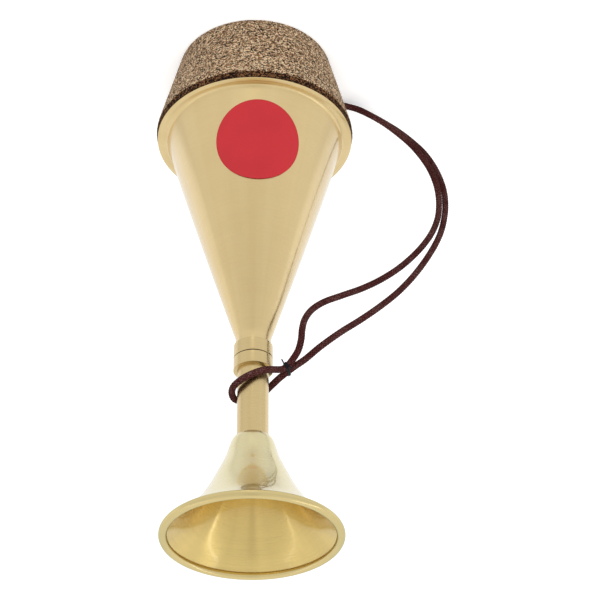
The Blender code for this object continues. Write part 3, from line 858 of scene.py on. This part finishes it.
class StageOperator(bpy.types.Operator):
    """Sets the camera, the pale floor and the soft light"""

    bl_idname = "stop_mute.stage"
    bl_label = "Stage"

    def execute(self, context):
        studio = context.scene.mute_studio
        self.set_camera(context.scene, studio)
        self.set_floor(context.scene, studio)
        self.set_world(context.scene, studio)
        self.set_lamp(context.scene)
        context.scene.view_settings.view_transform = "Standard"
        return {"FINISHED"}

    def set_camera(self, scene, studio):
        data = bpy.data.cameras.new("camera")
        data.lens = studio.lens
        data.sensor_width = 36.0
        data.clip_start = 0.01
        camera = bpy.data.objects.new("camera", data)
        scene.collection.objects.link(camera)
        view = Vector(studio.camera_aim) - Vector(studio.camera_place)
        turn = view.to_track_quat("-Z", "Y").to_matrix() @ Matrix.Rotation(studio.camera_roll, 3, "Z")
        camera.matrix_world = Matrix.Translation(studio.camera_place) @ turn.to_4x4()
        scene.camera = camera

    def set_floor(self, scene, studio):
        """Pale floor, white to the camera and as bright as the room where metal mirrors it."""
        mesh = bpy.data.meshes.new("floor")
        grid = bmesh.new()
        bmesh.ops.create_grid(grid, x_segments=1, y_segments=1, size=FLOOR_REACH)
        grid.to_mesh(mesh)
        grid.free()
        floor = bpy.data.objects.new("floor", mesh)
        scene.collection.objects.link(floor)
        material, tree, inputs = new_material("pale_floor", {
            "Base Color": (0.86, 0.86, 0.86), "Roughness": 0.9, "Specular IOR Level": 0.0,
            "Emission Color": (1.0, 1.0, 1.0),
        })
        rays = add_node(tree, "ShaderNodeLightPath").outputs
        feed(tree, inputs, {"Emission Strength": times(tree, rays["Is Camera Ray"], FLOOR_LIFT)})
        glow = made(tree, "ShaderNodeEmission", {"Strength": self.floor_level(tree, studio)})
        plain = tree.nodes["Principled BSDF"].outputs["BSDF"]
        seen = made(tree, "ShaderNodeMixShader", {"Fac": rays["Is Glossy Ray"], 1: plain, 2: glow})
        feed(tree, tree.nodes["Material Output"].inputs, {"Surface": seen})
        mesh.materials.append(material)

    def floor_level(self, tree, studio):
        """Brightness of the floor where metal mirrors it."""
        place = along_axes(tree, object_place(tree))
        front = ramp(tree, place["Y"], -1.5, -0.3, studio.front_light, studio.near_light)
        line = ramp(tree, off(tree, place["Y"], LINE_Y), 0.005, 0.02, 0.80, 1.0)
        open_floor = times(tree, line, ramp(tree, place["Y"], 0.01, 0.06, front, studio.floor_light))
        beside = within(tree, off(tree, place["X"], POOL_PLACE[0]), 0.015, 0.035)
        ahead = within(tree, off(tree, place["Y"], POOL_PLACE[1]), 0.03, 0.05)
        return ramp(tree, times(tree, beside, ahead), 0.0, 1.0, open_floor, studio.pool_light)

    def set_world(self, scene, studio):
        """Even white light, which metal sees brighter beside and behind the mute."""
        world = bpy.data.worlds.new("room")
        scene.world = world
        world.use_nodes = True
        tree = world.node_tree
        rays = add_node(tree, "ShaderNodeLightPath").outputs
        glossy = rays["Is Glossy Ray"]
        white = times(tree, rays["Is Camera Ray"], 1.0 - studio.room_light)
        plain = times(tree, plus(tree, white, studio.room_light), maths(tree, "SUBTRACT", 1.0, glossy))
        level = plus(tree, plain, times(tree, self.mirrored_level(tree, studio), glossy))
        feed(tree, tree.nodes["Background"].inputs, {"Color": (1.0, 1.0, 1.0), "Strength": level})

    def mirrored_level(self, tree, studio):
        """Brightness of the room where metal mirrors it."""
        way = along_axes(tree, tree.nodes.new("ShaderNodeTexCoord").outputs["Generated"])
        level = ramp(tree, way["Y"], -0.22, 0.10, studio.front_light, studio.side_light)
        above = ramp(tree, way["Y"], -0.35, -0.05, studio.upper_light, studio.side_light)
        open_sky = ramp(tree, way["Z"], 0.25, 0.70, level, above)
        aside = maths(tree, "ABSOLUTE", way["X"])
        narrow = within(tree, off(tree, way["Y"], STRIP_Y), 0.02, 0.045)
        tall = share_of(tree, way["Z"], 0.25, 0.35)
        strip = times(tree, times(tree, narrow, tall), share_of(tree, aside, 0.42, 0.50))
        middle = times(tree, within(tree, aside, 0.06, 0.14), within(tree, way["Y"], -0.4, -0.2))
        shade = times(tree, middle, share_of(tree, way["Z"], 0.15, 0.35))
        sky = times(tree, open_sky, ramp(tree, shade, 0.0, 1.0, 1.0, studio.camera_shade))
        right = RIGHT_STRIP_SHARE * studio.strip_light
        strip_side = ramp(tree, way["X"], -0.1, 0.1, studio.strip_light, right)
        return ramp(tree, strip, 0.0, 1.0, sky, strip_side)

    def set_lamp(self, scene):
        """One wide soft lamp above, in front and to the left."""
        data = bpy.data.lights.new("soft_lamp", "AREA")
        data.shape = "DISK"
        data.size = LAMP_SIZE
        data.energy = LAMP_ENERGY
        lamp = bpy.data.objects.new("soft_lamp", data)
        lamp.visible_glossy = False
        lamp.location = LAMP_PLACE
        lamp.rotation_euler = (Vector(LAMP_AIM) - lamp.location).to_track_quat("-Z", "Y").to_euler()
        scene.collection.objects.link(lamp)


class CordOperator(bpy.types.Operator):
    """Lays the braided cord, its black tie and its knot"""

    bl_idname = "stop_mute.cord"
    bl_label = "Cord"

    def execute(self, context):
        sizes = context.scene.mute_sizes
        colours = context.scene.mute_colours
        material = cord_material(colours.cord, colours.cord_groove_shade, colours.cord_glint)
        points = smooth_path(cord_path(), CORD_STEP)
        cord = braided("cord", points, sizes, material)
        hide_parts("cord_neck_loop", "cord_inner_strand", "cord_outer_strand")
        knot = self.make_knot(sizes, material)
        tie = self.make_tie(sizes, tie_material(colours.tie))
        for piece, slot in ((cord, "cord"), (knot, "cord"), (tie, "black_tie")):
            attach(piece, CORD)
        return {"FINISHED"}

    def make_knot(self, sizes, material):
        """Barrel knot: turns of the cord wound round both of its ends."""
        low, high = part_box("cord_knot")
        centre = (Vector(low) + Vector(high)) / 2
        outer = (high[2] - low[2]) / 2
        coil = outer - sizes.cord_radius
        along = (Vector(OUTER_ROUTE[-1]) - Vector(OUTER_ROUTE[-3])).normalized()
        side = along.cross(Vector((0.0, 0.0, 1.0))).normalized()
        up = side.cross(along)
        turns = 1.75
        rise = 2.04 * sizes.cord_radius
        points = []
        for step in range(121):
            share = step / 120 - 0.5
            angle = 2.0 * math.pi * turns * share
            spoke = math.cos(angle) * side + math.sin(angle) * up
            points.append(centre + coil * spoke + along * rise * turns * share)
        knot = braided("knot", points, sizes, material)
        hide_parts("cord_knot")
        return knot

    def make_tie(self, sizes, material):
        """Black thread wound twice round both cords, its two ends left standing."""
        front, back = Vector(TIE_FRONT), Vector(TIE_BACK)
        along = Vector(TIE_ALONG).normalized()
        across = back - front
        across = (across - across.dot(along) * along).normalized()
        out = along.cross(across)
        half = (back - front).length / 2
        middle = (front + back) / 2
        reach = sizes.cord_radius + sizes.tie_thread + TIE_GAP
        turns = 2.0
        pitch = 2.1 * sizes.tie_thread
        points = []
        for step in range(97):
            share = step / 96
            angle = 2.0 * math.pi * turns * share + math.radians(200.0)
            flat = max(-1.0, min(1.0, 1.6 * math.cos(angle)))
            spoke = reach * (math.cos(angle) * across + math.sin(angle) * out)
            points.append(middle + across * half * flat + spoke + along * pitch * turns * (share - 0.5))
        start = (points[0] - points[1]).normalized() * 0.4 - across + 0.3 * out
        end = (points[-1] - points[-2]).normalized() * 0.3 - across * 0.2 - out
        first = points[0] + start.normalized() * sizes.tie_tail
        last = points[-1] + end.normalized() * sizes.tie_tail
        wound = smooth_path([first] + points[::4] + [last], THREAD_STEP)
        tie = round_tube("tie", wound, sizes.tie_thread, material)
        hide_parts("cord_tie")
        return tie


class CorkOperator(bpy.types.Operator):
    """Spins the cork ring and the dark ring under the flange"""

    bl_idname = "stop_mute.cork"
    bl_label = "Cork"

    def execute(self, context):
        sizes = context.scene.mute_sizes
        paint = context.scene.mute_colours
        steps, spacing, pits = sizes.cork_steps, sizes.cork_spacing, sizes.cork_pitting
        for node, slot, name, colours, granule, sheen in (
            (
                "cork_ring", "cork", "ground_cork",
                (paint.cork_light, paint.cork_middle, paint.cork_red, paint.cork_dark),
                sizes.cork_granule, 0.17,
            ),
            (
                "backing_ring", "dark_cork", "dark_ground_cork",
                (paint.backing_light, paint.backing, paint.backing, paint.backing_dark),
                sizes.backing_granule, 0.0,
            ),
        ):
            material = cork_material(name, *colours, granule, sheen)
            spin_node(node, material, BODY, steps, spacing, granule=granule, pitting=pits)
        return {"FINISHED"}


class BodyOperator(bpy.types.Operator):
    """Spins the cone, its ferrule, the cork sleeve, the end plate and the inlet, and gives the receiver
    tube its finish
    """

    bl_idname = "stop_mute.body"
    bl_label = "Brass body"

    def execute(self, context):
        sizes = context.scene.mute_sizes
        colours = context.scene.mute_colours
        steps, spacing = sizes.spin_steps, sizes.brass_spacing
        satin, soft, plain = satin_brass(colours), shaded_brass(colours), plain_brass(colours)
        spin_node("body_cone", satin, BODY, steps, spacing, ease=sizes.flange_fall)
        spin_node("neck_ferrule", soft, BODY, steps, spacing, snug=SOLDER_GAP)
        for node in ("cork_sleeve", "end_plate", "inlet_tube"):
            spin_node(node, plain, BODY, steps, spacing)
        paint_node("receiver_tube", plain)
        return {"FINISHED"}


class BellOperator(bpy.types.Operator):
    """Spins the bell, the stem and the slide"""

    bl_idname = "stop_mute.bell"
    bl_label = "Bell and slide"

    def execute(self, context):
        sizes = context.scene.mute_sizes
        colours = context.scene.mute_colours
        steps, spacing = sizes.spin_steps, sizes.brass_spacing
        bright, soft, plain = bright_brass(colours), shaded_brass(colours), plain_brass(colours)
        bell = spin_node("bell_flare", bright, SLIDE, steps, spacing, snug=SOLDER_GAP)
        for material in (bell_brass(colours), rim_brass(colours), soft):
            bell.data.materials.append(material)
        self.sort_faces(bell.data, sizes.rim_bead)
        spin_node("slide_ferrule", soft, SLIDE, steps, spacing, snug=SOLDER_GAP)
        spin_node("stem_tube", soft, SLIDE, steps, spacing)
        spin_node("slide_tube", plain, SLIDE, steps, spacing)
        paint_node("bell_rim_wire", plain)
        return {"FINISHED"}

    def sort_faces(self, mesh, bead):
        """Gives the inside of the bell, its rolled rim and its soldered foot their own finishes; the
        inside's deeper colour and the foot's darker colour are painted shade.
        """
        rim = max(vertex.co.xy.length for vertex in mesh.vertices) - bead
        top = max(vertex.co.z for vertex in mesh.vertices) - bead
        foot = min(vertex.co.z for vertex in mesh.vertices) + DULL_SHADED_FOOT
        for face in mesh.polygons:
            centre = face.center
            if math.hypot(centre.xy.length - rim, centre.z - top) < 1.02 * bead:
                face.material_index = 2
            elif centre.z < foot:
                face.material_index = 3
            elif centre.xy.dot(face.normal.xy) < 0.0:
                face.material_index = 1


class LabelOperator(bpy.types.Operator):
    """Wraps the bare red label round the cone"""

    bl_idname = "stop_mute.label"
    bl_label = "Label"

    def execute(self, context):
        sizes = context.scene.mute_sizes
        mesh = bpy.data.meshes.new("label_film")
        points, faces = self.disc(LABEL_RINGS, LABEL_SIDES)
        mesh.from_pydata(self.wrapped(points, sizes.label_gap), [], faces)
        mesh.shade_smooth()
        mesh.materials.append(label_material(context.scene.mute_colours.label))
        label = add_object("label_film", mesh)
        film = label.modifiers.new("film", "SOLIDIFY")
        film.thickness = sizes.label_rise
        film.offset = 1.0
        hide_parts("label")
        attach(label, BODY)
        return {"FINISHED"}

    def disc(self, shares, sides):
        """Points and faces of a flat disc, in rings at the given shares of its radius."""
        points = []
        for share in shares:
            for step in range(sides):
                turn = 2.0 * math.pi * step / sides
                points.append((share * math.cos(turn), share * math.sin(turn)))
        points.append((0.0, 0.0))
        faces = []
        for ring in range(len(shares) - 1):
            for step in range(sides):
                here = ring * sides + step
                after = ring * sides + (step + 1) % sides
                faces.append((here, after, after + sides, here + sides))
        inner = (len(shares) - 1) * sides
        for step in range(sides):
            faces.append((inner + step, inner + (step + 1) % sides, len(points) - 1))
        return points, faces

    def wrapped(self, points, gap):
        """The disc's points, as wide as the label's node, wrapped round the cone without stretch."""
        low, high = (corner[2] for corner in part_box("label"))
        centre = frame_centre("label")
        cone = seam_outline("body_cone")
        middle = (low + high) / 2
        lean = (outer_radius(cone, low) - outer_radius(cone, high)) / (high - low)
        slant = math.hypot(1.0, lean)
        radius = (high - low) / 2 * slant
        apex = outer_radius(cone, middle) * slant / lean
        bent = []
        for across, rise in points:
            down = apex - radius * rise
            up = middle + (apex - math.hypot(down, radius * across)) / slant
            away = outer_radius(cone, up) + gap
            angle = math.atan2(centre[1], centre[0]) + math.atan2(radius * across, down) * slant / lean
            bent.append((away * math.cos(angle), away * math.sin(angle), up))
        return bent


def frame_centre(node):
    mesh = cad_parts[node].data
    return sum((vertex.co for vertex in mesh.vertices), Vector()) / len(mesh.vertices)


def paint_node(node, material):
    """Gives a node that stays in the picture its finish."""
    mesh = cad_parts[node].data
    mesh.materials.clear()
    mesh.materials.append(material)


class StopMutePanel(bpy.types.Panel):
    """Lists the mute's steps and their settings"""

    bl_idname = "VIEW3D_PT_stop_mute"
    bl_label = "Stop Mute"
    bl_space_type = "VIEW_3D"
    bl_region_type = "UI"
    bl_category = "Stop Mute"

    def draw(self, context):
        for operator in OPERATORS:
            self.layout.operator(operator.bl_idname)
        for group in SETTINGS:
            box = self.layout.box()
            settings = getattr(context.scene, group)
            for name in settings.__annotations__:
                box.prop(settings, name)


OPERATORS = (StageOperator, CordOperator, CorkOperator, BodyOperator, BellOperator, LabelOperator)
SETTINGS = {"mute_sizes": MuteSizes, "mute_colours": MuteColours, "mute_studio": MuteStudio}
CLASSES = (*SETTINGS.values(), *OPERATORS, StopMutePanel)


def register():
    for item in CLASSES:
        bpy.utils.register_class(item)
    for name, group in SETTINGS.items():
        setattr(bpy.types.Scene, name, bpy.props.PointerProperty(type=group))


def unregister():
    for name in SETTINGS:
        delattr(bpy.types.Scene, name)
    for item in reversed(CLASSES):
        bpy.utils.unregister_class(item)


def main():
    register()
    bpy.ops.stop_mute.stage()
    bpy.ops.stop_mute.cord()
    bpy.ops.stop_mute.cork()
    bpy.ops.stop_mute.body()
    bpy.ops.stop_mute.bell()
    bpy.ops.stop_mute.label()


if __name__ == "__main__":
    main()
